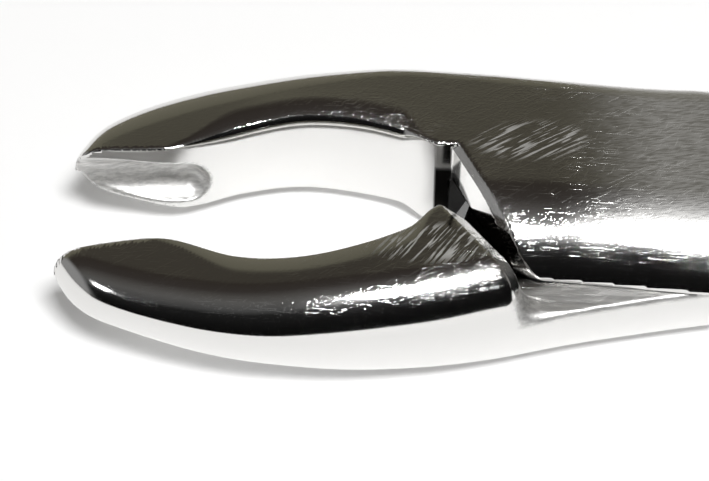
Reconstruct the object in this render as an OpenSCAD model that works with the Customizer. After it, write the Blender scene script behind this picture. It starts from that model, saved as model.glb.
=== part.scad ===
// Extraction forceps, lying on its side, shown with the beaks a little open.
// The pivot axis is Z through the origin, the floor is Z = 0 and the handles run along +X.
// Both halves are drawn closed, about the plane Y = 0, and then each is turned half the opening.

/* [Beaks] */
// Distance from the pivot to the tip of the upper half's beak
beak_l = 40; // [38:0.5:46]
// How much further the lower half's beak reaches
lower_reach = 1.2; // [0:0.1:1.5]
// Distance from the pivot to the crotch where the beaks meet the joint
crotch_l = 15.6; // [15:0.1:16.2]
// Length of the straight lips behind the beak tips
lip_l = 6.2; // [5:0.1:8]
// Gap between the lips of the closed beaks
lip_gap = 0.56; // [0.3:0.02:1.2]
// Widest gap between the closed beaks
cavity_w = 6.8; // [5:0.1:8]
// Distance from the pivot to the widest gap
cavity_l = 24.5; // [23:0.1:26]
// Width over the closed beaks at their widest
beak_span = 19.3; // [18.8:0.1:20]
// Radius of the round outer side of the beaks at their widest
beak_r = 3.5; // [3:0.1:4]
// Height of the top of the beak tips over the floor
tip_h = 7.5; // [7:0.1:8.2]
// Radius of the scoop in each beak's inner face
scoop_r = 1.85; // [1.6:0.05:1.95]
// Distance from the tip to the middle of the scoop's round end
scoop_l = 7.4; // [7:0.1:7.7]
// Height of the middle of the scoop's round end over the floor
scoop_z = 4.25; // [4:0.05:4.6]

/* [Joint] */
// Thickness of the joint
joint_t = 8.8; // [8.4:0.1:10]
// Thickness of the lower half's plate
lower_plate_t = 5.2; // [4.2:0.1:5.4]
// Width of the closed joint over the pivot
joint_w = 17.2; // [16.8:0.1:17.6]
// Width of the closed joint at its front shoulder
shoulder_w = 18.6; // [18.2:0.1:19]
// Radius of the sides of the joint that run on from the beaks and handles
joint_side_r = 2.4; // [2.2:0.1:3.6]
// Radius of the broad rounding along the free sides of the plates
plate_side_r = 6.4; // [4:0.1:7]
// How far the side of each plate runs in at its front and rear corners
plate_taper = 1; // [0.5:0.1:1.2]
// How far that side stands out beside the pivot
plate_swell = 0.3; // [0:0.05:0.4]
// Distance from the pivot to the front edge of each lapped plate
front_r = 12.5; // [12.2:0.1:12.7]
// Distance from the pivot to the rear edge of each lapped plate
rear_r = 10.8; // [10.2:0.1:11.2]
// Angle between the edges of the plates and the long axis
step_angle = 63; // [61:1:66]
// Total gap between the two lapped plates
lap_gap = 0.1; // [0.06:0.01:0.2]
// Gap between a plate's edge and the step that it turns in
step_gap = 1.05; // [0.9:0.05:1.25]
// Bevel along the top of the upper plate's edges
edge_bevel = 0.5; // [0.3:0.05:0.65]
// Width of the bevel along the top of the lower half's steps
step_bevel_w = 1.1; // [0.7:0.05:1.2]
// Depth of that bevel
step_bevel_h = 1.03; // [0.73:0.05:1.13]
// Opening of the beaks as the forceps lies
open_angle = 11.5; // [6:0.5:20]

/* [Handles] */
// Distance from the pivot to the ends of the handles
handle_l = 131; // [115:1:145]
// Distance from the pivot to the crotch where the handles leave the joint
rear_crotch_l = 12.4; // [12:0.1:13.4]
// Thickness of the handles across the forceps
handle_t = 5.8; // [5:0.1:7]
// Height of the handles over the floor
handle_h = 9.8; // [9.2:0.1:11]
// Widest gap between the closed handles
handle_gap = 21; // [16:0.5:26]
// Distance from the pivot to the widest gap between the handles
handle_gap_l = 84; // [70:1:95]
// Gap between the ends of the closed handles
end_gap = 16; // [12:0.5:20]

/* [Screw] */
// Diameter of the screw's head
head_d = 7; // [6:0.1:7.6]
// Thickness of the screw's head
head_t = 1.5; // [1.2:0.1:1.8]
// Width of the slot in the head
slot_w = 0.9; // [0.6:0.05:1.2]
// Depth of the slot in the head
slot_depth = 0.7; // [0.5:0.05:0.9]
// Diameter of the plain journal that the lower half turns on
journal_d = 5; // [4.4:0.1:5.6]
// Outer diameter of the thread
thread_d = 4; // [3.4:0.1:4.4]
// Pitch of the thread
thread_pitch = 0.7; // [0.5:0.05:0.8]
// Metal left over the end of the screw
top_skin = 1.3; // [0.9:0.1:1.6]
// Radial gap round the journal
journal_gap = 0.04; // [0.02:0.01:0.08]
// Gap round the head in its recess
head_gap = 0.08; // [0.05:0.01:0.2]

/* [Hidden] */
$fn = 64;
lap_z = lower_plate_t + lap_gap / 2;
reach = 3 * shoulder_w;
lip_x = lip_l - beak_l;
half_open = open_angle / 2;
ring_steps = 14;
wall_steps = 9;
rim_flat = 2;
scoop_side = 0.45;
scoop_rise = 12;
scoop_turn = 15;
corner_blend = 3;
step_turn = 90 - step_angle;
head_sink = 0.05;
head_edge = 0.3;
thread_depth = 0.3;
thread_bite = 0.15;
thread_base = lap_z + lap_gap / 2;
thread_top = joint_t - top_skin - 0.2;
thread_turns = floor((thread_top - thread_base) / thread_pitch - 0.6);

// Smooth monotone curve through the points [x, value] of p, in order of x
function span_of(p, x, i = 0) = i >= len(p) - 2 || x <= p[i + 1][0] ? i : span_of(p, x, i + 1);
function rise(p, i) = (p[i + 1][1] - p[i][1]) / (p[i + 1][0] - p[i][0]);
function slope_at(p, i) =
    i == 0 ? rise(p, 0)
    : i == len(p) - 1 ? rise(p, len(p) - 2)
    : rise(p, i - 1) * rise(p, i) <= 0 ? 0
    : 2 / (1 / rise(p, i - 1) + 1 / rise(p, i));
function curve(p, x) =
    let (i = span_of(p, x), w = p[i + 1][0] - p[i][0])
    let (t = max(0, min(1, (x - p[i][0]) / w)), s = t * t * (3 - 2 * t))
    p[i][1] * (1 - s) + p[i + 1][1] * s
    + w * t * (1 - t) * ((1 - t) * slope_at(p, i) - t * slope_at(p, i + 1));

// Half gap between the closed beaks, from the tips to the crotch
beak_gap_line = [
    [-beak_l, lip_gap / 2],
    [lip_x, lip_gap / 2 + 0.06],
    [lip_x + 1.4, lip_gap / 2 + 0.5],
    [lip_x + 5.3, 0.76 * cavity_w / 2],
    [-cavity_l, cavity_w / 2],
    [-cavity_l + 4.5, 0.84 * cavity_w / 2],
    [-crotch_l, 0.3 * cavity_w / 2],
];
// Half width over the closed forceps, from the tips to the handle ends
outer_line = [
    [-beak_l, lip_gap / 2 + 0.35],
    [-beak_l + 0.3, 0.175 * beak_span / 2],
    [-beak_l + 0.8, 0.3 * beak_span / 2],
    [-beak_l + 1.5, 0.375 * beak_span / 2],
    [-beak_l + 2.3, 0.44 * beak_span / 2],
    [-beak_l + 3.8, 0.55 * beak_span / 2],
    [-beak_l + 5.4, 0.645 * beak_span / 2],
    [-beak_l + 7, 0.725 * beak_span / 2],
    [-beak_l + 8.6, 0.795 * beak_span / 2],
    [-beak_l + 10.2, 0.85 * beak_span / 2],
    [-beak_l + 12, 0.9 * beak_span / 2],
    [-beak_l + 15, 0.955 * beak_span / 2],
    [-beak_l + 18.5, 0.99 * beak_span / 2],
    [-crotch_l - 2, beak_span / 2],
    [-front_r - 0.3, shoulder_w / 2],
    [-front_r + 3.5, joint_w / 2 + 0.3],
    [-front_r + 7.5, joint_w / 2 + 0.1],
    [0, joint_w / 2],
    [rear_r, joint_w / 2 + 0.4],
    [rear_crotch_l + 12, 0.35 * handle_gap / 2 + handle_t + 0.4],
    [rear_crotch_l + 34, 0.78 * handle_gap / 2 + handle_t],
    [handle_gap_l, handle_gap / 2 + handle_t],
    [handle_l - 4, end_gap / 2 + handle_t + 0.1],
    [handle_l, end_gap / 2 + handle_t - 0.4],
];
// Half gap between the closed handles, from the rear crotch to the ends
handle_gap_line = [
    [rear_crotch_l, 0.7],
    [rear_crotch_l + 12, 0.35 * handle_gap / 2],
    [rear_crotch_l + 34, 0.78 * handle_gap / 2],
    [handle_gap_l, handle_gap / 2],
    [handle_l, end_gap / 2],
];
// Height of the top and of the underside over the floor
top_line = [
    [-beak_l, tip_h],
    [-beak_l + 3, tip_h + 0.45],
    [lip_x + 1, tip_h + 0.55],
    [lip_x + 5, tip_h + 0.6],
    [-cavity_l, joint_t - 0.25],
    [-cavity_l + 5, joint_t],
    [rear_crotch_l, joint_t],
    [rear_crotch_l + 40, handle_h],
    [handle_l, handle_h],
];
bottom_line = [
    [-beak_l, tip_h - 4.1],
    [-beak_l + 4, tip_h - 4.1],
    [-beak_l + 5.2, tip_h - 4.3],
    [-beak_l + 7.6, tip_h - 4.8],
    [-beak_l + 9.7, tip_h - 5.2],
    [-cavity_l - 3, 1.8],
    [-cavity_l + 1.6, 0.65],
    [-cavity_l + 6.5, 0],
    [handle_l, 0],
];
// Height of the lower edge of the inner faces of the beaks
rim_line = [
    [-beak_l, tip_h - 1.5],
    [-beak_l + 0.6, tip_h - 2.9],
    [-beak_l + 2.2, tip_h - 4],
    [-beak_l + 4.9, tip_h - 4.95],
    [-beak_l + 7.5, tip_h - 5.95],
    [-beak_l + 9.8, 0.8],
    [-beak_l + 12, 0.6],
    [-cavity_l + 4.5, 0.6],
    [-crotch_l - 1.5, 0.9],
    [-crotch_l + 2.5, 0],
    [handle_l, 0],
];
// Radius of the rounded sides at the top, where they run on from the beaks and handles
shoulder_line = [
    [-beak_l, 0.3],
    [-beak_l + 0.8, 0.75 * beak_r],
    [-beak_l + 3, 0.95 * beak_r],
    [-beak_l + 8, beak_r],
    [-cavity_l - 3, 0.93 * beak_r],
    [-cavity_l + 1.5, 0.86 * beak_r],
    [-cavity_l + 6.5, joint_side_r],
    [-front_r + 4, joint_side_r],
    [0, joint_side_r + 0.8],
    [rear_r, joint_side_r + 0.8],
    [handle_l, 2.8],
];
// Radius of the free sides of the plates at the top, and of the lower half's other side
plate_line = [
    [-front_r, plate_side_r],
    [rear_r - 2, plate_side_r],
    [rear_r + 6, 2.8],
    [handle_l, 2.8],
];
ledge_line = [
    [-beak_l, 0.3],
    [-beak_l + 0.8, 0.7 * beak_r],
    [-beak_l + 3, 0.86 * beak_r],
    [-cavity_l - 3, 0.94 * beak_r],
    [-crotch_l - 2.4, beak_r],
    [-front_r - 0.5, beak_r],
    [-front_r + 5, plate_side_r],
    [rear_r - 2, plate_side_r],
    [rear_r + 6, 2.8],
    [handle_l, 2.8],
];
// Radius of the sides at the underside
keel_line = [
    [-beak_l, 0.3],
    [-beak_l + 1, 0.6 * beak_r],
    [-beak_l + 7, 0.74 * beak_r],
    [-cavity_l - 3, 0.94 * beak_r],
    [-cavity_l + 1.5, 1.14 * beak_r],
    [-crotch_l - 2.4, 1.3 * beak_r],
    [-front_r + 2.5, beak_r],
    [0, 3],
    [handle_l, 2.8],
];
// Width across the forceps of the bevels along the slanted front and rear edges of the plates
front_bevel_line = [
    [-front_r - 1.6, 0],
    [-front_r - 1.1, edge_bevel / cos(step_angle)],
    [-front_r + 2, edge_bevel / cos(step_angle)],
    [-front_r + 3.4, 0],
];
rear_bevel_line = [
    [rear_r - 3.2, 0],
    [rear_r - 1.8, edge_bevel / cos(step_angle)],
    [rear_crotch_l, edge_bevel / cos(step_angle)],
    [rear_crotch_l + 1.2, 0],
];
// How far the sides of the plates run in, from the front corner past the pivot
taper_line = [
    [-front_r, plate_taper],
    [-front_r + 4, 0.68 * plate_taper],
    [-4.7, 0.28 * plate_taper],
    [-1, -0.25 * plate_swell],
    [2, -0.95 * plate_swell],
    [4, -plate_swell],
    [rear_r, 0],
    [handle_l, 0],
];
// Height of the widest place of the sides, as a share of the thickness
mid_line = [
    [-beak_l, 0.5],
    [-crotch_l - 4, 0.45],
    [-front_r + 0.5, 0.35],
    [rear_crotch_l, 0.35],
    [rear_crotch_l + 20, 0.5],
    [handle_l, 0.5],
];
// Power of the curve of the sides, rounder or squarer, where they run on and where they are free
power_line = [
    [-beak_l, 2],
    [-crotch_l - 1, 2],
    [-front_r + 3, 2.5],
    [rear_r, 2.5],
    [rear_crotch_l + 12, 2.2],
    [handle_l, 2.2],
];
free_power_line = [
    [-beak_l, 2],
    [rear_r - 2, 2],
    [rear_crotch_l + 12, 2.2],
    [handle_l, 2.2],
];

// Where the front edge of the plate lies across the forceps, as a distance along X is passed
function step_y(x, r) = (r + x * sin(step_angle)) / cos(step_angle);

// Half width on the low side (y < 0) and on the high side of a closed half
function low_w(x) = curve(outer_line, x) - curve(taper_line, x);
function high_w(x) = curve(outer_line, x) - max(0, curve(taper_line, -x));

// Smaller of two values, with the corner between them rounded
function blend_min(a, b) =
    let (h = max(0, corner_blend - abs(a - b)))
    min(a, b) - h * h / (4 * corner_blend);

// Edges of the closed upper half across the forceps
function low_edge(x) =
    x < -crotch_l ? curve(beak_gap_line, x)
    : -blend_min(low_w(x) * 0.999, max(-curve(beak_gap_line, -crotch_l), step_y(x, front_r)));
function high_edge(x) =
    blend_min(high_w(x) * 0.999, max(-curve(handle_gap_line, max(x, rear_crotch_l)), step_y(-x, rear_r)));

// Roundness of the ends, from 0 at the very end to 1 on the full section
function round_end(d, r) = d >= r ? 1 : sqrt(1 - pow(1 - d / r, 2));

// Top and underside of the closed forceps at a point
function dome(x, y, line) =
    let (w = y < 0 ? low_w(x) : high_w(x), r = min(curve(line, x), w - 0.1))
    let (n = curve(y < 0 || $lower ? free_power_line : power_line, x))
    pow(1 - pow(max(0, min(1, (abs(y) - w + r) / r)), n), 1 / n);
function mid_z(x) =
    let (k = curve(mid_line, x))
    curve(bottom_line, x) * (1 - k) + curve(top_line, x) * k;
function top_z(x, y) =
    let (line = y < 0 ? plate_line : $lower ? ledge_line : shoulder_line)
    mid_z(x) + (curve(top_line, x) - mid_z(x)) * dome(x, y, line);
function bottom_z(x, y) =
    let (lift = curve(rim_line, x) - curve(bottom_line, x))
    let (lo = low_edge(x), hi = high_edge(x), t = max(0, min(1, (y - lo) / (hi - lo))))
    mid_z(x) - (mid_z(x) - curve(bottom_line, x)) * dome(x, y, keel_line) + lift * pow(1 - t, rim_flat);

// Inner face of a beak with its scoop, a groove with a round end that runs out at the tip
function scoop_y(x, z) =
    let (dx = x + beak_l - scoop_l, v = (z - scoop_z + dx * tan(scoop_rise)) * cos(scoop_rise))
    scoop_side + min(0, dx) * tan(scoop_turn)
    + sqrt(max(0, scoop_r * scoop_r - v * v - pow(max(0, dx), 2))) - (abs(v) < scoop_r ? 0 : scoop_r);
function inner_y(x, z) = max(low_edge(x), x < -crotch_l ? scoop_y(x, z) : -beak_l);

// Spread of the points of a section, closer together towards the sides
function side_angle(x, y) = asin(y / (y < 0 ? low_w(x) : high_w(x)));
function side_y(x, a) = sin(a) * (a < 0 ? low_w(x) : high_w(x));

// One section of a closed half, a ring of points in the plane at x
function section(x, more) =
    let (lo = low_edge(x), hi = high_edge(x))
    let (end = round_end(handle_l - x, 2.2), mid = (lo + hi) / 2, mz = mid_z(x))
    let (beak_part = max(0, (-x - crotch_l) / (beak_l - crotch_l)))
    let (lo_b = min(bevel(x, -1), 0.3 * (top_z(x, lo) - bottom_z(x, lo)), 0.4 * (hi - lo)))
    let (hi_b = min(bevel(x, 1), 0.3 * (top_z(x, hi) - bottom_z(x, hi)), 0.4 * (hi - lo)))
    let (lo_w = min(max(lo_b, curve(front_bevel_line, x)), 0.4 * (hi - lo)))
    let (hi_w = min(max(hi_b, curve(rear_bevel_line, x)), 0.4 * (hi - lo)))
    let (a = side_angle(x, lo + lo_w), b = side_angle(x, hi - hi_w))
    let (ys = [for (i = [0:ring_steps]) side_y(x, a + (b - a) * i / ring_steps)])
    let (top = concat(
        [[lo, top_z(x, lo + lo_w) - lo_b]],
        [for (y = ys) [y, top_z(x, y)]],
        [[hi, top_z(x, hi - hi_w) - hi_b]]))
    let (low = concat(
        [[lo, bottom_z(x, lo + lo_w) + lo_b]],
        [for (y = ys) [y, bottom_z(x, y)]],
        [[hi, bottom_z(x, hi - hi_w) + hi_b]]))
    let (z0 = low[0][1], z1 = top[0][1])
    let (wall = [for (i = [1:wall_steps])
        let (z = z0 + (z1 - z0) * i / (wall_steps + 1)) [inner_y(x, z), z]])
    [for (q = concat(top, [for (i = [len(low) - 1:-1:0]) low[i]], wall))
        [x - more * pow(beak_part, 2), mid + (q[0] - mid) * end, mz + (q[1] - mz) * end]];

// Bevels of the inner edges of the beaks and handles and of the plates, at the top and below
function bevel(x, side) =
    side < 0
    ? (x < -crotch_l - 0.3 ? 0.12 : x < -front_r + 7 ? edge_bevel : 0.02)
    : (x < 0 ? 0.02 : x < rear_crotch_l ? edge_bevel : 1.1);

// Places of the sections along the closed half
function steps(a, b, n) = [for (i = [0:n - 1]) a + (b - a) * i / n];
places = concat(
    [-beak_l, -beak_l + 0.06, -beak_l + 0.15, -beak_l + 0.3, -beak_l + 0.5, -beak_l + 0.8],
    steps(-beak_l + 1.15, lip_x, 8),
    steps(lip_x, -cavity_l, 14),
    steps(-cavity_l, -crotch_l, 8),
    steps(-crotch_l, -front_r + 5, 21),
    steps(-front_r + 5, 6, 4),
    steps(6, rear_crotch_l + 1, 12),
    steps(rear_crotch_l + 1, handle_gap_l, 16),
    steps(handle_gap_l, handle_l - 2.2, 9),
    [handle_l - 2.2, handle_l - 1.4, handle_l - 0.7, handle_l - 0.25, handle_l - 0.03]);

function middle_of(ring) = [for (k = [0:2]) let (v = [for (p = ring) p[k]]) (min(v) + max(v)) / 2];

module closed_blank(more_reach, lower) {
    $lower = lower;
    rings = [for (x = places) section(x, more_reach)];
    n = len(rings[0]);
    last = (len(rings) - 1) * n;
    points = [for (r = rings) each r];
    sides = [for (k = [0:len(rings) - 2], i = [0:n - 1])
        let (a = k * n + i, b = k * n + (i + 1) % n)
        each [[a, b, a + n], [b, b + n, a + n]]];
    caps = concat(
        [for (i = [0:n - 1]) [(i + 1) % n, i, last + n]],
        [for (i = [0:n - 1]) [last + i, last + (i + 1) % n, last + n + 1]]);
    polyhedron(concat(points, [middle_of(rings[0]), middle_of(rings[len(rings) - 1])]), concat(sides, caps));
}

// Strip in which the other half's plate turns, from z0 upwards, between the two steps of a half
module plate_strip(z0, height) {
    rotate([0, 0, -step_turn])
        translate([-front_r - step_gap, -reach, z0])
            cube([front_r + rear_r + 2 * step_gap, 2 * reach, height]);
}

// Bevel along the top of the step at the distance d from the pivot, on its side towards the ends
module step_bevel(d) {
    out = sign(d);
    rotate([0, 0, -step_turn])
        translate([d, -reach, joint_t])
            rotate([90, 0, 180])
                linear_extrude(height = 2 * reach)
                    polygon([[-out * step_bevel_w, 0], [-out * step_bevel_w, 1], [out, 1],
                             [out, -step_bevel_h * (1 + 1 / step_bevel_w)]]);
}

module top_half() {
    color("gainsboro")
        rotate([0, 0, -half_open])
            difference() {
                closed_blank(0, false);
                plate_strip(-1, lap_z + lap_gap / 2 + 1);
                translate([0, 0, lap_z])
                    cylinder(h = joint_t - top_skin - lap_z, r = thread_d / 2 - thread_bite);
            }
}

module bottom_half() {
    color("silver")
        rotate([0, 0, half_open])
            mirror([0, 1, 0])
                difference() {
                    closed_blank(lower_reach, true);
                    plate_strip(lap_z - lap_gap / 2, joint_t);
                    step_bevel(-front_r - step_gap);
                    step_bevel(rear_r + step_gap);
                    translate([0, 0, -1])
                        cylinder(h = joint_t, r = journal_d / 2 + journal_gap);
                    translate([0, 0, -1])
                        cylinder(h = 1 + head_sink + head_t + head_gap, r = head_d / 2 + head_gap);
                }
}

// Outline of the screw from its axis outwards, with the thread as a row of ridges
function thread_edge() = [
    for (i = [0:thread_turns - 1], k = [0:1])
        [thread_d / 2 - (k == 0 ? thread_depth : 0), thread_base + (i + (k + 1) / 2) * thread_pitch]
];

module hinge_screw() {
    color("darkgray")
        difference() {
            rotate_extrude()
                polygon(concat(
                    [[0, head_sink], [head_d / 2 - head_edge, head_sink],
                     [head_d / 2, head_sink + head_edge], [head_d / 2, head_sink + head_t],
                     [journal_d / 2, head_sink + head_t], [journal_d / 2, thread_base],
                     [thread_d / 2 - thread_depth, thread_base]],
                    thread_edge(),
                    [[thread_d / 2 - thread_depth, thread_top], [0, thread_top]]));
            translate([-head_d, -slot_w / 2, head_sink - 1])
                cube([2 * head_d, slot_w, 1 + slot_depth]);
        }
}

top_half();
bottom_half();
hinge_screw();
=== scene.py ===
import math

import bpy
import numpy as np
from mathutils import Matrix, Vector


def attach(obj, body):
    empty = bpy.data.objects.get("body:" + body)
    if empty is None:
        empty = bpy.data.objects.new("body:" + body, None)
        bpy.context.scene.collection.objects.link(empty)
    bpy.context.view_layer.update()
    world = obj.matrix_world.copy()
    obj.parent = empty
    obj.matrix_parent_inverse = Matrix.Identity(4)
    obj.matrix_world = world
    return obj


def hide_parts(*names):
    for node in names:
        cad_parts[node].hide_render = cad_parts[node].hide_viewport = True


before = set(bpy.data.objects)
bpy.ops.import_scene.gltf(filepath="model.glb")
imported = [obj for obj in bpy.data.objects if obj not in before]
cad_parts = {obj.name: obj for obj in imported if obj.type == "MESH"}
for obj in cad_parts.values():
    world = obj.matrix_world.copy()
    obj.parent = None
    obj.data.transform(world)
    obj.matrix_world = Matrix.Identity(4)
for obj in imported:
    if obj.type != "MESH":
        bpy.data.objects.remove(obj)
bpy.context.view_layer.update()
scene = bpy.context.scene
scene.view_settings.view_transform = "Standard"

# Sizes in millimetres, as in the part's source
BEAK_L, LOWER_REACH, CROTCH_L = 40.0, 1.2, 15.6
LIP_L, LIP_GAP = 6.2, 0.56
CAVITY_W, CAVITY_L = 6.8, 24.5
BEAK_SPAN, BEAK_R, TIP_H = 19.3, 3.5, 7.5
SCOOP_R, SCOOP_L, SCOOP_Z = 1.85, 7.4, 4.25
SCOOP_SIDE, SCOOP_RISE, SCOOP_TURN = 0.45, math.radians(12), math.radians(15)
JOINT_T, LOWER_PLATE_T = 8.8, 5.2
JOINT_W, SHOULDER_W = 17.2, 18.6
JOINT_SIDE_R, PLATE_SIDE_R, PLATE_TAPER, PLATE_SWELL = 2.4, 6.4, 1.0, 0.3
FRONT_R, REAR_R = 12.5, 10.8
STEP_ANGLE = math.radians(63)
LAP_GAP, STEP_GAP = 0.1, 1.05
EDGE_BEVEL, STEP_BEVEL_W, STEP_BEVEL_H = 0.5, 1.1, 1.03
OPEN_ANGLE = 11.5
HANDLE_L, REAR_CROTCH_L = 131.0, 12.4
HANDLE_T, HANDLE_H = 5.8, 9.8
HANDLE_GAP, HANDLE_GAP_L, END_GAP = 21.0, 84.0, 16.0
HEAD_D, HEAD_T = 7.0, 1.5
JOURNAL_D, THREAD_D, TOP_SKIN = 5.0, 4.0, 1.3
JOURNAL_GAP, HEAD_GAP, HEAD_SINK, THREAD_GAP = 0.04, 0.08, 0.05, 0.02

# The cross cuts in the handles' grips, which are only here
GRIP_START, GRIP_END, GRIP_FADE, GRIP_Z, GRIP_FLAT = 50, 123, 3, 4.9, 1.9
GRIP_PITCH, GRIP_LEAN, CUT_W, CUT_DEPTH = 1.9, 0.9, 0.42, 0.26

# Roundings of the edges, which are softer here than in the part's source
TIP_TRIM, TIP_ROUND, END_ROUND, SIDE_ROUND, REAR_ROUND = 0.1, 2.2, 3.5, 2.2, 1.5
EDGE_ROUND, INNER_ROUND, SCOOP_ROUND, LAP_ROUND, BORE_ROUND = 0.06, 1.2, 0.14, 0.12, 0.15
STEP_FILLET, LEDGE_FILLET, STEP_ROUND, LEDGE_ROUND = 0.8, 2.4, 0.04, 0.5
MEET_ROUND, PLATE_FILLET, WALL_ROUND, BEVEL_END = 0.12, 0.4, 0.08, 1.2

LIP_X = LIP_L - BEAK_L
LAP_Z = LOWER_PLATE_T + LAP_GAP / 2
SIN_A, COS_A = math.sin(STEP_ANGLE), math.cos(STEP_ANGLE)

SPAN, SHOULDER, JOINT = BEAK_SPAN / 2, SHOULDER_W / 2, JOINT_W / 2

# The lines of a closed half: pairs of the place along X and the line's value there
LINES = {
    "gap": [(-BEAK_L, LIP_GAP / 2), (LIP_X, LIP_GAP / 2 + 0.06), (LIP_X + 1.4, LIP_GAP / 2 + 0.5),
            (LIP_X + 5.3, 0.76 * CAVITY_W / 2), (-CAVITY_L, CAVITY_W / 2),
            (-CAVITY_L + 4.5, 0.84 * CAVITY_W / 2), (-CROTCH_L, 0.3 * CAVITY_W / 2)],
    "outer": [(-BEAK_L, 1.7), (-BEAK_L + 0.8, 2.75), (-BEAK_L + 1.5, 0.36 * SPAN),
              (-BEAK_L + 2.3, 0.44 * SPAN), (-BEAK_L + 3.8, 0.55 * SPAN), (-BEAK_L + 5.4, 0.645 * SPAN),
              (-BEAK_L + 7, 0.725 * SPAN), (-BEAK_L + 8.6, 0.795 * SPAN), (-BEAK_L + 10.2, 0.85 * SPAN),
              (-BEAK_L + 12, 0.9 * SPAN), (-BEAK_L + 15, 0.955 * SPAN), (-BEAK_L + 18.5, 0.99 * SPAN),
              (-CROTCH_L - 2, SPAN),
              (-FRONT_R - 0.3, SHOULDER), (-FRONT_R + 3.5, JOINT + 0.3), (-FRONT_R + 7.5, JOINT + 0.1),
              (0, JOINT), (REAR_R, JOINT + 0.4),
              (REAR_CROTCH_L + 12, 0.35 * HANDLE_GAP / 2 + HANDLE_T + 0.4),
              (REAR_CROTCH_L + 34, 0.78 * HANDLE_GAP / 2 + HANDLE_T),
              (HANDLE_GAP_L, HANDLE_GAP / 2 + HANDLE_T), (HANDLE_L - 4, END_GAP / 2 + HANDLE_T + 0.1),
              (HANDLE_L, END_GAP / 2 + HANDLE_T - 0.4)],
    "handle_gap": [(REAR_CROTCH_L, 0.7), (REAR_CROTCH_L + 12, 0.35 * HANDLE_GAP / 2),
                   (REAR_CROTCH_L + 34, 0.78 * HANDLE_GAP / 2), (HANDLE_GAP_L, HANDLE_GAP / 2),
                   (HANDLE_L, END_GAP / 2)],
    "top": [(-BEAK_L, TIP_H), (-BEAK_L + 3, TIP_H + 0.45), (LIP_X + 1, TIP_H + 0.55),
            (LIP_X + 5, TIP_H + 0.6), (-CAVITY_L, JOINT_T - 0.25), (-CAVITY_L + 5, JOINT_T),
            (REAR_CROTCH_L, JOINT_T), (REAR_CROTCH_L + 40, HANDLE_H), (HANDLE_L, HANDLE_H)],
    "bottom": [(-BEAK_L, TIP_H - 4.1), (-BEAK_L + 4, TIP_H - 4.1), (-BEAK_L + 5.2, TIP_H - 4.3),
               (-BEAK_L + 7.6, TIP_H - 4.8), (-BEAK_L + 9.7, TIP_H - 5.2), (-CAVITY_L - 3, 1.8),
               (-CAVITY_L + 1.6, 0.65), (-CAVITY_L + 6.5, 0), (HANDLE_L, 0)],
    "rim": [(-BEAK_L, TIP_H - 1.5), (-BEAK_L + 0.6, TIP_H - 2.9), (-BEAK_L + 2.2, TIP_H - 4),
            (-BEAK_L + 4.9, TIP_H - 4.95), (-BEAK_L + 7.5, TIP_H - 5.95), (-BEAK_L + 9.8, 0.8),
            (-BEAK_L + 12, 0.6), (-CAVITY_L + 4.5, 0.6), (-CROTCH_L - 1.5, 0.9), (-CROTCH_L + 2.5, 0),
            (HANDLE_L, 0)],
    "shoulder": [(-BEAK_L, 0.5 * BEAK_R), (-BEAK_L + 0.8, 0.75 * BEAK_R), (-BEAK_L + 3, 0.95 * BEAK_R),
                 (-BEAK_L + 8, BEAK_R), (-CAVITY_L - 3, 0.93 * BEAK_R), (-CAVITY_L + 1.5, 0.86 * BEAK_R),
                 (-CAVITY_L + 6.5, JOINT_SIDE_R), (-FRONT_R + 4, JOINT_SIDE_R), (0, JOINT_SIDE_R + 0.8),
                 (REAR_R, JOINT_SIDE_R + 0.8), (HANDLE_L, 2.8)],
    "plate": [(-FRONT_R, PLATE_SIDE_R), (REAR_R - 2, PLATE_SIDE_R), (REAR_R + 6, 2.8), (HANDLE_L, 2.8)],
    "ledge": [(-BEAK_L, 0.5 * BEAK_R), (-BEAK_L + 0.8, 0.7 * BEAK_R), (-BEAK_L + 3, 0.86 * BEAK_R),
              (-CAVITY_L - 3, 0.94 * BEAK_R), (-CROTCH_L - 2.4, BEAK_R), (-FRONT_R - 0.5, BEAK_R),
              (-FRONT_R + 5, PLATE_SIDE_R), (REAR_R - 2, PLATE_SIDE_R), (REAR_R + 6, 2.8), (HANDLE_L, 2.8)],
    "keel": [(-BEAK_L, 0.5 * BEAK_R), (-BEAK_L + 1, 0.6 * BEAK_R), (-BEAK_L + 7, 0.74 * BEAK_R),
             (-CAVITY_L - 3, 0.94 * BEAK_R), (-CAVITY_L + 1.5, 1.14 * BEAK_R),
             (-CROTCH_L - 2.4, 1.3 * BEAK_R), (-FRONT_R + 2.5, BEAK_R), (0, 3), (HANDLE_L, 2.8)],
    "taper": [(-FRONT_R, PLATE_TAPER), (-FRONT_R + 4, 0.68 * PLATE_TAPER), (-4.7, 0.28 * PLATE_TAPER),
              (-1, -0.25 * PLATE_SWELL), (2, -0.95 * PLATE_SWELL), (4, -PLATE_SWELL), (REAR_R, 0),
              (HANDLE_L, 0)],
    "mid": [(-BEAK_L, 0.5), (-CROTCH_L - 4, 0.45), (-FRONT_R + 0.5, 0.35), (REAR_CROTCH_L, 0.35),
            (REAR_CROTCH_L + 20, 0.5), (HANDLE_L, 0.5)],
    "power": [(-BEAK_L, 2), (-CROTCH_L - 1, 2), (-FRONT_R + 3, 2.5), (REAR_R, 2.5),
              (REAR_CROTCH_L + 12, 2.2), (HANDLE_L, 2.2)],
    "free_power": [(-BEAK_L, 2), (REAR_R - 2, 2), (REAR_CROTCH_L + 12, 2.2), (HANDLE_L, 2.2)],
    "inner_bevel": [(-BEAK_L, 0.06), (-CAVITY_L, 0.1), (HANDLE_L, 0.12)],
    "high_round": [(-BEAK_L, 0.08), (-BEAK_L + 4, 0.3), (0, 0.4), (REAR_CROTCH_L, 0.5),
                   (REAR_CROTCH_L + 12, 3), (HANDLE_L, 3)],
}


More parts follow.
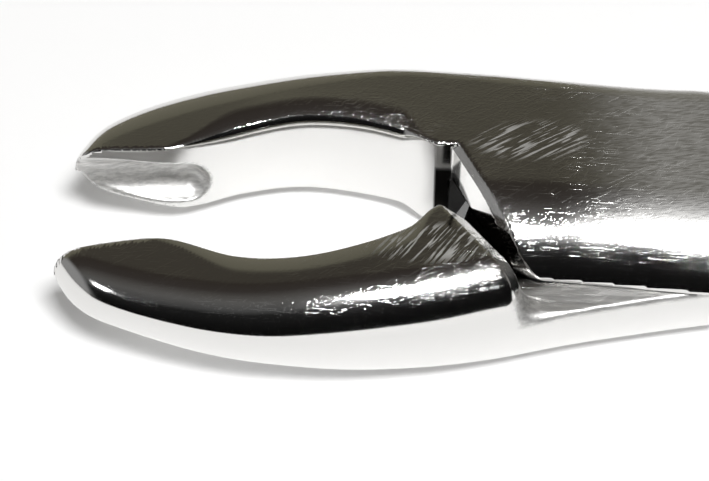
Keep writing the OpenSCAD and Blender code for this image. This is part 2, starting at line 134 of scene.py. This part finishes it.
def monotone(points, x):
    """Smooth curve through points that never overshoots them."""
    px, py = np.array(points, float).T
    d = np.diff(py) / np.diff(px)
    m = np.concatenate([[d[0]], np.zeros(len(px) - 2), [d[-1]]])
    same = d[:-1] * d[1:] > 0
    m[1:-1][same] = 2 / (1 / d[:-1][same] + 1 / d[1:][same])
    i = np.clip(np.searchsorted(px, x) - 1, 0, len(px) - 2)
    w = px[i + 1] - px[i]
    t = np.clip((x - px[i]) / w, 0, 1)
    s = t * t * (3 - 2 * t)
    return py[i] * (1 - s) + py[i + 1] * s + w * t * (1 - t) * ((1 - t) * m[i] - t * m[i + 1])


XS_STEP = 0.05
XS = np.arange(-BEAK_L - 3, HANDLE_L + 8, XS_STEP)


def softened(v, width):
    """The table v along XS, averaged over a bell of that width in millimetres."""
    reach = int(3 * width / XS_STEP)
    k = np.arange(-reach, reach + 1) * XS_STEP
    bell = np.exp(-k * k / (2 * width * width))
    low = v[0] - (v[1] - v[0]) * np.arange(reach, 0, -1)
    high = v[-1] + (v[-1] - v[-2]) * np.arange(1, reach + 1)
    return np.convolve(np.concatenate([low, v, high]), bell / bell.sum(), "valid")


def step01(a, b, x):
    """0 up to a and 1 from b on, smooth between them, where b may be the lower one."""
    t = np.clip((x - a) / (b - a), 0, 1)
    return t * t * (3 - 2 * t)


# Each line is softened least at the tip and most along the handle, and the gap stays sharp at the crotch.
TABLE = {}
for key, points in LINES.items():
    raw = monotone(points, XS)
    at_tip, at_joint, at_handle = softened(raw, 0.35), softened(raw, 1.1), softened(raw, 3.0)
    t1, t2 = step01(-BEAK_L + 1, -BEAK_L + 5, XS), step01(14, 26, XS)
    soft = (at_tip * (1 - t1) + at_joint * t1) * (1 - t2) + at_handle * t2
    sharp = step01(-CROTCH_L - 4, -CROTCH_L - 1.5, XS) * (key == "gap")
    TABLE[key] = soft * (1 - sharp) + raw * sharp


def line(key, x):
    return np.interp(x, XS, TABLE[key])


def slope_of(key, x):
    return np.interp(x, XS, np.gradient(TABLE[key], XS_STEP))


def smax(a, b, k):
    """The larger of a and b, rounded over where they differ by less than k."""
    h = np.maximum(k - np.abs(a - b), 0)
    return np.maximum(a, b) + h * h / (4 * k)


def smin(a, b, k):
    return -smax(-a, -b, k)


def chamfer(a, b, wide, deep):
    """Distance to the plane that breaks the edge of surfaces a and b, wide along a and deep along b."""
    return (a / deep + b / wide + 1) / np.hypot(1 / deep, 1 / wide)


def low_side(x, y):
    """Distances outside a closed half: the beak's inner face, the plate's front edge, and its side."""
    face = (line("gap", x) - y) / np.sqrt(1 + slope_of("gap", x) ** 2)
    front = -FRONT_R - (x * SIN_A + y * COS_A)
    return face, front, line("taper", x) - line("outer", x) - y


def high_side(x, y):
    """Distances outside a closed half: the handle's inner face, the plate's rear edge, and its side."""
    face = (y + line("handle_gap", x)) / np.sqrt(1 + slope_of("handle_gap", x) ** 2)
    rear = x * SIN_A + y * COS_A - REAR_R
    return face, rear, y - line("outer", x) + np.maximum(line("taper", -x), 0)


def body(x, y, z, upper):
    """Distance outside the round sides, top and underside of a closed half."""
    low = y < 0
    w = line("outer", x) - np.where(low, line("taper", x), np.maximum(line("taper", -x), 0))
    power = np.where(low | (not upper), line("free_power", x), line("power", x))
    top, bottom, share = line("top", x), line("bottom", x), line("mid", x)
    mid = bottom * (1 - share) + top * share
    lo = np.maximum(-w, np.minimum(line("gap", x), -(FRONT_R + x * SIN_A) / COS_A))
    hi = np.minimum(w, np.maximum(-line("handle_gap", x), (REAR_R - x * SIN_A) / COS_A))
    t = np.clip((y - lo) / np.maximum(hi - lo, 0.2), 0, 1)
    under = bottom + (line("rim", x) - bottom) * (1 - t) ** 2
    above = z > mid
    shoulder = np.where(low, line("plate", x), line("shoulder" if upper else "ledge", x))
    r = np.minimum(np.where(above, shoulder, line("keel", x)), w - 0.1)
    tall = np.where(above, top - mid, mid - under)
    u = np.maximum((np.abs(y) - w + r) / r, 0)
    v = np.abs(z - mid) / tall
    s = np.maximum((u ** power + v ** power) ** (1 / power), 1e-3)
    steep = np.sqrt(((u / s) ** (power - 1) / r) ** 2 + ((v / s) ** (power - 1) / tall) ** 2)
    return (s - 1) / np.maximum(steep, 1e-3)


def scoop(x, y, z):
    """Distance outside the round-ended groove in a beak's inner face, which runs out at the tip."""
    dx = x + BEAK_L - SCOOP_L
    v = (z - SCOOP_Z + dx * math.tan(SCOOP_RISE)) * math.cos(SCOOP_RISE)
    u = (y - SCOOP_SIDE - np.minimum(dx, 0) * math.tan(SCOOP_TURN)) * math.cos(SCOOP_TURN)
    return np.sqrt(u * u + v * v + np.maximum(dx, 0) ** 2) - SCOOP_R


def grip(x, y, z):
    """Depth of the cross cuts in the outer sides of the handles."""
    along = step01(GRIP_START, GRIP_START + GRIP_FADE, x) * step01(GRIP_END, GRIP_END - GRIP_FADE, x)
    around = step01(1.8, 0.9, np.abs(z - GRIP_Z) - GRIP_FLAT) * step01(1.6, 0.8, y + line("outer", x))
    a, b = (x + GRIP_LEAN * z) / GRIP_PITCH, (x - GRIP_LEAN * z) / GRIP_PITCH
    cut = np.minimum(np.abs(a - np.round(a)), np.abs(b - np.round(b))) * GRIP_PITCH
    return along * around * CUT_DEPTH * np.maximum(1 - cut / CUT_W, 0)


def closed_half(x, y, z, upper):
    """Distance outside a closed half, at least near its surface."""
    skin = body(x, y, z, upper)
    skin = smax(skin, -BEAK_L - TIP_TRIM - x, TIP_ROUND)
    face, front, side = low_side(x, y)
    bevel = line("inner_bevel", x)
    edge = smin(np.maximum(face, chamfer(skin, face, bevel, bevel)),
                np.maximum(front, chamfer(skin, front, EDGE_BEVEL, EDGE_BEVEL)), MEET_ROUND)
    cavity = step01(-BEAK_L + 6, -BEAK_L + 11, x) * step01(-CROTCH_L - 0.5, -CROTCH_L - 2.5, x)
    f = smax(skin, smax(side, edge, SIDE_ROUND), EDGE_ROUND + INNER_ROUND * cavity)
    face, rear, side = high_side(x, y)
    edge = smin(face, np.maximum(rear, chamfer(skin, rear, EDGE_BEVEL, EDGE_BEVEL)), REAR_ROUND)
    f = smax(f, smax(side, edge, SIDE_ROUND), line("high_round", x))
    f = smax(f, x - HANDLE_L, END_ROUND)
    f = smax(f, -scoop(x, y, z), SCOOP_ROUND)
    f = f + grip(x, y, z)
    across = x * SIN_A - y * COS_A
    walls = np.minimum(across + FRONT_R + STEP_GAP, REAR_R + STEP_GAP - across)
    radius = np.sqrt(x * x + y * y)
    if upper:
        cut = smin(walls, LAP_Z + LAP_GAP / 2 - z, PLATE_FILLET)
        f = smax(f, cut, LAP_ROUND)
        return np.maximum(f, -np.maximum(radius - THREAD_D / 2 - THREAD_GAP, z - (JOINT_T - TOP_SKIN)))
    outside = y * (x < 0)
    cut = smin(walls, z - (LAP_Z - LAP_GAP / 2), STEP_FILLET + LEDGE_FILLET * step01(6.4, 8.2, outside))
    bevel = smin(chamfer(f, walls, STEP_BEVEL_W, STEP_BEVEL_H), z - LAP_Z, BEVEL_END)
    f = smax(smax(f, cut, WALL_ROUND), bevel, STEP_ROUND + LEDGE_ROUND * step01(6.8, 8.2, outside))
    bore = radius - JOURNAL_D / 2 - JOURNAL_GAP
    recess = np.maximum(radius - HEAD_D / 2 - HEAD_GAP, z - (HEAD_SINK + HEAD_T + HEAD_GAP))
    return smax(f, -np.minimum(bore, recess), BORE_ROUND)


def slopes(f, p, h=0.01):
    """Unit vectors in which f grows fastest at the points p, and how fast."""
    g = np.empty_like(p)
    for k in range(3):
        d = np.zeros(3)
        d[k] = h
        a, b = p + d, p - d
        g[:, k] = (f(a[:, 0], a[:, 1], a[:, 2]) - f(b[:, 0], b[:, 1], b[:, 2])) / (2 * h)
    size = np.maximum(np.linalg.norm(g, axis=1, keepdims=True), 0.2)
    return g / size, size


def settle(f, p, reach, times):
    """The points p moved onto the surface f = 0, no further than reach at a time."""
    for _ in range(times):
        n, size = slopes(f, p)
        move = np.clip(f(p[:, 0], p[:, 1], p[:, 2])[:, None] / size, -reach, reach)
        p = p - move * n
    return p


STRIP = 64          # grid layers that are worked out at a time
HOLD = 0.06         # how firmly a point is held near the middle of its cell's crossings
CREASE = 0.985      # normals in one cell that agree less than this make a crease


def skin_of(f, gx, gy, gz):
    """Quads on the surface f = 0, one point per grid cell, set on the creases where the surface has any.

    The grid has places gx along X, gy[i] across and gz in height.
    Also gives each point whether it is on a crease.
    """
    value = np.empty((len(gx), gy.shape[1], len(gz)), np.float32)
    for i in range(0, len(gx), STRIP):
        s = slice(i, i + STRIP)
        value[s] = f(gx[s, None, None], gy[s, :, None], gz[None, None, :])
    inside = value < 0
    shape = np.array(value.shape) - 1
    quads, crossings, normals = [], [], []
    for axis in range(3):
        u, v = (axis + 1) % 3, (axis + 2) % 3
        first, last = [slice(None)] * 3, [slice(None)] * 3
        first[axis], last[axis] = slice(None, -1), slice(1, None)
        e = np.argwhere(inside[tuple(first)] != inside[tuple(last)])
        e = e[(e[:, u] > 0) & (e[:, v] > 0) & (e[:, u] < shape[u]) & (e[:, v] < shape[v])]
        far = e.copy()
        far[:, axis] += 1
        pa, pb = (np.stack([gx[q[:, 0]], gy[q[:, 0], q[:, 1]], gz[q[:, 2]]], 1) for q in (e, far))
        fa, fb = value[tuple(e.T)].astype(float), value[tuple(far.T)].astype(float)
        for _ in range(3):
            p = pa + (pb - pa) * np.clip(fa / (fa - fb), 0.05, 0.95)[:, None]
            fp = f(p[:, 0], p[:, 1], p[:, 2])
            same = (fp < 0) == (fa < 0)
            pa, fa = np.where(same[:, None], p, pa), np.where(same, fp, fa)
            pb, fb = np.where(same[:, None], pb, p), np.where(same, fb, fp)
        p = pa + (pb - pa) * (fa / (fa - fb))[:, None]
        crossings.append(p)
        normals.append(slopes(f, p)[0])
        ring = []
        for du, dv in ((-1, -1), (0, -1), (0, 0), (-1, 0)):
            c = e.copy()
            c[:, u] += du
            c[:, v] += dv
            ring.append((c[:, 0] * shape[1] + c[:, 1]) * shape[2] + c[:, 2])
        q = np.stack(ring, 1)
        flip = ~inside[tuple(e.T)]
        q[flip] = q[flip][:, ::-1]
        quads.append(q)
    quads = np.concatenate(quads)
    p, n = np.concatenate(crossings), np.concatenate(normals)
    cells, index = np.unique(quads.ravel(), return_inverse=True)
    index = index.reshape(quads.shape)

    def total(values):
        return sum(np.bincount(index[:, k], values, len(cells)) for k in range(4))

    hits = total(np.ones(len(p)))
    middle = np.stack([total(p[:, k]) for k in range(3)], 1) / hits[:, None]
    spread = np.linalg.norm(np.stack([total(n[:, k]) for k in range(3)], 1), axis=1) / hits
    ata = np.empty((len(cells), 3, 3))
    for a in range(3):
        for b in range(a, 3):
            ata[:, a, b] = ata[:, b, a] = total(n[:, a] * n[:, b])
    height = (n * p).sum(1)
    atb = np.stack([total(n[:, k] * height) for k in range(3)], 1) - np.einsum("nij,nj->ni", ata, middle)
    move = np.linalg.solve(ata + HOLD * np.eye(3), atb[:, :, None])[:, :, 0]
    size = np.linalg.norm(move, axis=1, keepdims=True)
    cell = gz[1] - gz[0]
    move *= np.minimum(1, 0.8 * cell / np.maximum(size, 1e-9))
    crease = spread < CREASE
    point = middle + move * crease[:, None]
    return point, index, crease


def mesh_of(name, points, faces):
    """A new object with these points, in metres, and four-sided faces."""
    mesh = bpy.data.meshes.new(name)
    mesh.vertices.add(len(points))
    mesh.vertices.foreach_set("co", np.asarray(points, np.float32).ravel())
    mesh.loops.add(faces.size)
    mesh.loops.foreach_set("vertex_index", faces.astype(np.int32).ravel())
    mesh.polygons.add(len(faces))
    mesh.polygons.foreach_set("loop_start", np.arange(len(faces), dtype=np.int32) * faces.shape[1])
    mesh.update(calc_edges=True)
    obj = bpy.data.objects.new(name, mesh)
    scene.collection.objects.link(obj)
    return obj


def satin_and_gap_shade(x, y, z, upper):
    """Where a closed half is satin, and where painted shade darkens the joint's gaps, each from 0 to 1."""
    satin = step01(0.3, 0.1, np.abs(scoop(x, y, z)))
    joint = step01(-CROTCH_L - 0.1, -CROTCH_L, x) * step01(REAR_CROTCH_L + 3, REAR_CROTCH_L + 1, x)
    if upper:
        # Upper half: painted shade, near black, along the plate's lower edge at the lap plane, where the
        # joint's gap is
        limit = LAP_Z + 0.15 + 1.15 * step01(-2.5, -0.2, y)
        return satin, joint * step01(limit, limit - 0.4, z) * step01(5, 4, y) * step01(-7.6, -6.8, y)
    # Lower half: painted shade, near black, on the step's wall, the plate's front edge, the flat deck at the
    # lap plane and a skirt under the crotch
    from_wall = x * SIN_A - y * COS_A + FRONT_R + STEP_GAP
    from_front = x * SIN_A + y * COS_A + FRONT_R
    wall = step01(0.14, 0.06, np.abs(from_wall)) * step01(6, 5, y) * (z > LAP_Z)
    front = step01(0.14, 0.06, np.abs(from_front)) * step01(LAP_Z - 4, LAP_Z - 3, z)
    skirt = (step01(-1, -0.5, y) * step01(3, 2, y) * step01(-CROTCH_L - 0.2, -CROTCH_L, x)
             * (x < -FRONT_R + 1) * (z < LAP_Z + 0.3) * (z > LAP_Z - 4))
    deck = step01(LAP_Z + 0.5, LAP_Z + 0.2, z) * step01(LAP_Z - 0.6, LAP_Z - 0.3, z) * step01(6.2, 5.2, y)
    gap_shade = joint * (y > -7) * np.maximum(np.maximum(wall, front), np.maximum(deck, skirt))
    flat = step01(LAP_Z + 1.8, LAP_Z + 1.3, z) * step01(LAP_Z - 0.7, LAP_Z - 0.4, z)
    ledge = joint * step01(-1.5, -0.9, from_wall) * step01(5.6, 6.6, y) * flat
    return np.maximum(satin, ledge), gap_shade


# The grid's cell in millimetres, where it turns coarser, and how far it reaches past a closed half
CELL, QUICK_CELL, JOINT_END, HALF_SPREAD = 0.208, 0.36, 14, 21.6
TIP_MARGIN, END_MARGIN, SIDE_MARGIN, TOP_MARGIN, FLOOR_MARGIN = 0.6, 0.8, 0.7, 0.6, 0.5


def build_half(name, upper):
    """A half as a smooth mesh at rest, with its satin places and the painted shade of its joint's gaps as
    attributes.
    """
    fine = CELL
    stretches = ((-BEAK_L - TIP_MARGIN, JOINT_END, 1), (JOINT_END, GRIP_START - 1, 3),
                 (GRIP_START - 1, GRIP_END + 1, 1.9), (GRIP_END + 1, HANDLE_L + END_MARGIN, 1.5))
    gx = np.concatenate([np.arange(a, b, fine * coarse) for a, b, coarse in stretches])
    gy = -(line("outer", gx) + SIDE_MARGIN)[:, None] + np.arange(0, HALF_SPREAD, fine)[None, :]
    gz = np.arange(-FLOOR_MARGIN, HANDLE_H + TOP_MARGIN, fine)

    def f(x, y, z):
        return closed_half(x, y, z, upper)

    p, q, crease = skin_of(f, gx, gy, gz)
    p[~crease] = settle(f, p[~crease], fine / 3, 3)
    p[crease] = settle(f, p[crease], fine / 8, 1)

    # Corner normals: beside a crease each face takes its own side's
    n = slopes(f, p)[0][q]
    bent = crease[q]
    middle = p[q].mean(1, keepdims=True)
    near = p[q] + 0.2 * (middle - p[q])
    n[bent] = slopes(f, near[bent])[0]
    satin, gap_shade = satin_and_gap_shade(*p.T, upper)

    # The lower half is the mirror image, with a beak that reaches further
    if not upper:
        part = np.maximum((-p[:, 0] - CROTCH_L) / (BEAK_L - CROTCH_L), 0)
        n[:, :, 0] /= 1 + 2 * LOWER_REACH * part[q] / (BEAK_L - CROTCH_L)
        n /= np.linalg.norm(n, axis=2, keepdims=True)
        p[:, 0] -= LOWER_REACH * part ** 2
        p[:, 1] *= -1
        n[:, :, 1] *= -1
        q, n = q[:, ::-1], n[:, ::-1]
    turn = math.radians(OPEN_ANGLE / 2) * (-1 if upper else 1)
    c, s = math.cos(turn), math.sin(turn)
    spin = np.array([[c, s, 0], [-s, c, 0], [0, 0, 1]])
    obj = mesh_of(name, p @ spin * 0.001, q)
    for key, values in (("satin", satin), ("gap_shade", gap_shade)):
        obj.data.attributes.new(key, "FLOAT", "POINT").data.foreach_set("value", values.astype(np.float32))
    obj.data.shade_smooth()
    obj.data.normals_split_custom_set((n @ spin).reshape(-1, 3).astype(np.float32).tolist())
    return obj


def principled(name):
    """A new material, its node tree and its shader."""
    material = bpy.data.materials.new(name)
    material.use_nodes = True
    tree = material.node_tree
    return material, tree, tree.nodes["Principled BSDF"]


def add(tree, kind, inputs=(), **values):
    """A shader node with its settings made and its inputs linked or set."""
    n = tree.nodes.new("ShaderNode" + kind)
    for key, value in values.items():
        setattr(n, key, value)
    for key, value in dict(inputs).items():
        if isinstance(value, bpy.types.NodeSocket):
            tree.links.new(value, n.inputs[key])
        else:
            n.inputs[key].default_value = value
    return n


def math_of(tree, operation, a, b=0.0, c=0.0):
    return add(tree, "Math", {0: a, 1: b, 2: c}, operation=operation).outputs[0]


def band(tree, value, low, high, to_low=0.0, to_high=1.0):
    """A value carried smoothly from the span low to high into the span to_low to to_high."""
    return add(tree, "MapRange", {"Value": value, "From Min": low, "From Max": high,
                                  "To Min": to_low, "To Max": to_high},
               interpolation_type="SMOOTHSTEP").outputs["Result"]


def noise(tree, place, turn, stretch, detail=2.0, roughness=0.5):
    """Noise with stretch features per millimetre, along a direction turned about the vertical."""
    spot = add(tree, "Mapping", {"Vector": place, "Rotation": (0, 0, math.radians(turn)),
                                 "Scale": [0.001 / k for k in stretch]}, vector_type="TEXTURE")
    return add(tree, "TexNoise", {"Vector": spot.outputs[0], "Scale": 1.0, "Detail": detail,
                                  "Roughness": roughness}).outputs[0]


# The second colour is near-black painted shade for the joint's gaps
PLATING, GAP_SHADE = (0.87, 0.865, 0.85, 1), (0.012, 0.011, 0.01, 1)
BRIGHT_ROUGH, WEAR_ROUGH, MARK_ROUGH, HAZE_ROUGH, SATIN_ROUGH = 0.08, 0.08, 0.05, 0.5, 0.44
RELIEF = 0.000006
# Scratches: direction in degrees, features per millimetre, and the span of noise where they start
SCRATCHES = ((28, (0.4, 9, 9), 0.64, 0.7), (62, (1.1, 9, 9), 0.66, 0.72), (-8, (0.5, 12, 12), 0.65, 0.72))
# Scuffs: middle and half sizes in metres, and direction in degrees
SCUFFS = (((-0.009, 0.0025), (0.0055, 0.0024), 28), ((-0.016, -0.006), (0.006, 0.0022), 50))


def plated_steel():
    """Bright plating with worn and scuffed upper faces, satin places, and painted near-black shade in the
    joint's gaps.
    """
    material, tree, shader = principled("plated_steel")
    place = add(tree, "TexCoord").outputs["Object"]
    split = add(tree, "SeparateXYZ", {0: place})
    x, y = split.outputs[0], split.outputs[1]
    up = add(tree, "SeparateXYZ", {0: add(tree, "NewGeometry").outputs["Normal"]}).outputs[2]
    satin = add(tree, "Attribute", attribute_name="satin").outputs["Fac"]
    # The painted shade of the joint's gaps, as stored on the mesh
    gap_shade = add(tree, "Attribute", attribute_name="gap_shade").outputs["Fac"]

    # Wear is strongest on upper faces about the front of the joint, in patches
    from_joint = math_of(tree, "ABSOLUTE", math_of(tree, "ADD", x, 0.010))
    worn = math_of(tree, "MULTIPLY", band(tree, from_joint, 0.006, 0.018, 1.0, 0.25),
                   band(tree, up, 0.54, 0.78))
    patches = band(tree, noise(tree, place, 0, (0.13, 0.2, 0.2), 3), 0.44, 0.6)
    wear = math_of(tree, "MULTIPLY", math_of(tree, "MULTIPLY_ADD", patches, 0.6, 0.4), worn)

    # Relief: scratches and grain where it is worn, brushing where it is satin
    marks = 0.0
    for turn, stretch, low, high in SCRATCHES:
        marks = math_of(tree, "MAXIMUM", band(tree, noise(tree, place, turn, stretch, 1), low, high), marks)
    grain = noise(tree, place, 20, (4.5, 7, 7), 3, 0.6)
    streaks = noise(tree, place, -6, (0.25, 4, 4), 3, 0.6)
    relief = math_of(tree, "MULTIPLY", marks, wear)
    relief = math_of(tree, "MULTIPLY_ADD", grain, math_of(tree, "MULTIPLY_ADD", wear, 1.7, 0.05), relief)
    relief = math_of(tree, "MULTIPLY_ADD", streaks, math_of(tree, "MULTIPLY_ADD", satin, 1.2, 0.05), relief)
    bump = add(tree, "Bump", {"Height": relief, "Distance": RELIEF, "Strength": 1.0})
    tree.links.new(bump.outputs[0], shader.inputs["Normal"])

    # Haze: fine brushing over the plate's flat top, and scuffs near its front
    haze = math_of(tree, "MULTIPLY", band(tree, x, -0.012, 0.0), band(tree, up, 0.75, 0.88))
    fibres = band(tree, noise(tree, place, 4, (1.2, 9, 9), 2), 0.32, 0.6, 0.8, 1.0)
    hazy = math_of(tree, "MULTIPLY", haze, fibres)
    for at, reach, turn in SCUFFS:
        dx, dy = (math_of(tree, "DIVIDE", math_of(tree, "SUBTRACT", v, at[k]), reach[k])
                  for k, v in enumerate((x, y)))
        away = math_of(tree, "MULTIPLY_ADD", dx, dx, math_of(tree, "MULTIPLY", dy, dy))
        lines = band(tree, noise(tree, place, turn, (0.35, 5, 5), 2), 0.5, 0.58)
        scuff = math_of(tree, "MULTIPLY", band(tree, away, 1.0, 0.2), lines)
        hazy = math_of(tree, "MAXIMUM", hazy, math_of(tree, "MULTIPLY", scuff, 1.15))
    rough = math_of(tree, "MULTIPLY_ADD", wear, WEAR_ROUGH, BRIGHT_ROUGH)
    for share, most in ((hazy, HAZE_ROUGH), (satin, SATIN_ROUGH)):
        rough = math_of(tree, "MAXIMUM", rough, math_of(tree, "MULTIPLY", share, most))
    tree.links.new(math_of(tree, "MULTIPLY_ADD", marks, MARK_ROUGH, rough), shader.inputs["Roughness"])

    # Painted shade: the joint's gaps are mixed toward near black
    tone = add(tree, "Mix", {"Factor": gap_shade, 6: PLATING, 7: GAP_SHADE}, data_type="RGBA")
    dull = band(tree, streaks, 0.35, 0.65, 0.72, 1.0)
    dull = add(tree, "Mix", {"Factor": satin, 2: 1.0, 3: dull}, data_type="FLOAT").outputs[0]
    tone = add(tree, "VectorMath", {0: tone.outputs[2], "Scale": dull}, operation="SCALE")
    tree.links.new(tone.outputs[0], shader.inputs["Base Color"])
    shader.inputs["Metallic"].default_value = 1
    return material


steel = plated_steel()
for name, node, upper in (("upper_half_forging", "top_half", True),
                          ("lower_half_forging", "bottom_half", False)):
    piece = build_half(name, upper)
    piece.data.materials.append(steel)
    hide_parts(node)
    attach(piece, node)
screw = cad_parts["hinge_screw"]
screw.data.materials.clear()
screw.data.materials.append(steel)

# Floor: a pale sheet that looks a little brighter to the camera, and white far from the part
FLOOR_HALF, FLOOR_DROP = 3, 0.00002
NEAR_GLOW, FAR_GLOW, GLOSSY_GLOW = 0.18, 0.6, 0.06
floor_mesh = bpy.data.meshes.new("floor")
floor_mesh.from_pydata([(x * FLOOR_HALF, y * FLOOR_HALF, 0) for x, y in ((-1, -1), (1, -1), (1, 1), (-1, 1))],
                       [], [(0, 1, 2, 3)])
floor = bpy.data.objects.new("floor", floor_mesh)
floor.location.z = -FLOOR_DROP
scene.collection.objects.link(floor)
pale, tree, shader = principled("pale_floor")
shader.inputs["Base Color"].default_value = (0.93, 0.93, 0.93, 1)
shader.inputs["Roughness"].default_value = 0.9
shader.inputs["Specular IOR Level"].default_value = 0.1
shader.inputs["Emission Color"].default_value = (1, 1, 1, 1)
ray = add(tree, "LightPath").outputs
spot = add(tree, "NewGeometry").outputs["Position"]
away = add(tree, "VectorMath", {0: spot, 1: (0.04, 0, 0)}, operation="DISTANCE").outputs["Value"]
glow = math_of(tree, "ADD", band(tree, away, 0.12, 0.5, 0, FAR_GLOW), NEAR_GLOW)
glow = math_of(tree, "MULTIPLY", glow, ray["Is Camera Ray"])
glow = math_of(tree, "MULTIPLY_ADD", ray["Is Glossy Ray"], GLOSSY_GLOW, glow)
tree.links.new(glow, shader.inputs["Emission Strength"])
floor_mesh.materials.append(pale)

# World: the tones of a studio around the part, from the back (0) over the top (0.5) to the front (1),
# with a grey wall at the left. The camera itself sees white.
WALL = (0.25, 0.25, 0.25, 1)
SKY = ((0, (0.16, 0.15, 0.115)), (0.235, (0.11, 0.104, 0.078)), (0.272, (0.05, 0.045, 0.036)),
       (0.31, (0.03, 0.025, 0.021)), (0.42, (0.035, 0.03, 0.027)), (0.5, (0.07, 0.066, 0.062)),
       (0.57, (0.09, 0.088, 0.085)), (0.68, (0.05, 0.05, 0.05)), (0.73, (0.01, 0.01, 0.01)),
       (1, (0.002, 0.002, 0.002)))
world = bpy.data.worlds.new("studio")
scene.world = world
world.use_nodes = True
tree = world.node_tree
toward = add(tree, "SeparateXYZ", {0: add(tree, "TexCoord").outputs["Generated"]}).outputs
turn = math_of(tree, "DIVIDE", math_of(tree, "ARCTAN2", toward[2], toward[1]), math.pi)
ramp = add(tree, "ValToRGB", {0: turn})
stops = ramp.color_ramp.elements
for k, (at, color) in enumerate(SKY):
    stop = stops[k] if k < 2 else stops.new(at)
    stop.position, stop.color = at, (*color, 1)
left = band(tree, toward[0], -0.8, -0.93)
seen = add(tree, "Mix", {"Factor": left, 6: ramp.outputs[0], 7: WALL}, data_type="RGBA").outputs[2]
by_camera = add(tree, "LightPath").outputs["Is Camera Ray"]
seen = add(tree, "Mix", {"Factor": by_camera, 6: seen, 7: (1, 1, 1, 1)}, data_type="RGBA").outputs[2]
tree.links.new(seen, tree.nodes["Background"].inputs[0])


def area(name, at, aim, size, power):
    """A rectangular lamp at one place, turned to another."""
    data = bpy.data.lights.new(name, "AREA")
    data.shape = "RECTANGLE"
    data.size, data.size_y = size
    data.energy = power
    obj = bpy.data.objects.new(name, data)
    obj.location = at
    obj.rotation_euler = (Vector(aim) - Vector(at)).to_track_quat("-Z", "Y").to_euler()
    scene.collection.objects.link(obj)


area("soft_box", (0.12, -0.34, 0.72), (0, 0, 0), (0.2, 0.16), 5.9)
area("tip_lamp", (-0.56, -0.3, 0.5), (-0.03, 0, 0), (0.09, 0.09), 0.3)

# Camera: 50 degrees above the floor, turned 3.2 degrees about the pivot's axis, 150 mm away.
# The pivot, at the joint's middle height, stands at pixel (670, 248) of the 709 x 481 picture.
ROLL, TILT, PX_PER_MM, AWAY = math.radians(3.2), math.radians(50), 15.0, 150.0
WIDTH, HEIGHT, PIVOT_PX, PIVOT_PY = 709, 481, 670, 248
mid_z = JOINT_T / 2
tx = (WIDTH / 2 - PIVOT_PX) / PX_PER_MM
ty = (PIVOT_PY - HEIGHT / 2 - PX_PER_MM * mid_z * math.cos(TILT)) / (PX_PER_MM * math.sin(TILT))
c, s = math.cos(ROLL), math.sin(ROLL)
target = Vector((tx * c + ty * s, -tx * s + ty * c, mid_z))
back = Vector((-math.cos(TILT) * s, -math.cos(TILT) * c, math.sin(TILT)))
right = Vector((c, -s, 0))
up = back.cross(right)
camera_data = bpy.data.cameras.new("camera")
camera_data.sensor_width = 36
camera_data.lens = camera_data.sensor_width * AWAY / (WIDTH / PX_PER_MM)
camera_data.clip_start = 0.01
camera_data.clip_end = 20
camera = bpy.data.objects.new("camera", camera_data)
place = (target + back * AWAY) * 0.001
camera.matrix_world = Matrix((
    (right.x, up.x, back.x, place.x),
    (right.y, up.y, back.y, place.y),
    (right.z, up.z, back.z, place.z),
    (0, 0, 0, 1)))
scene.collection.objects.link(camera)
scene.camera = camera
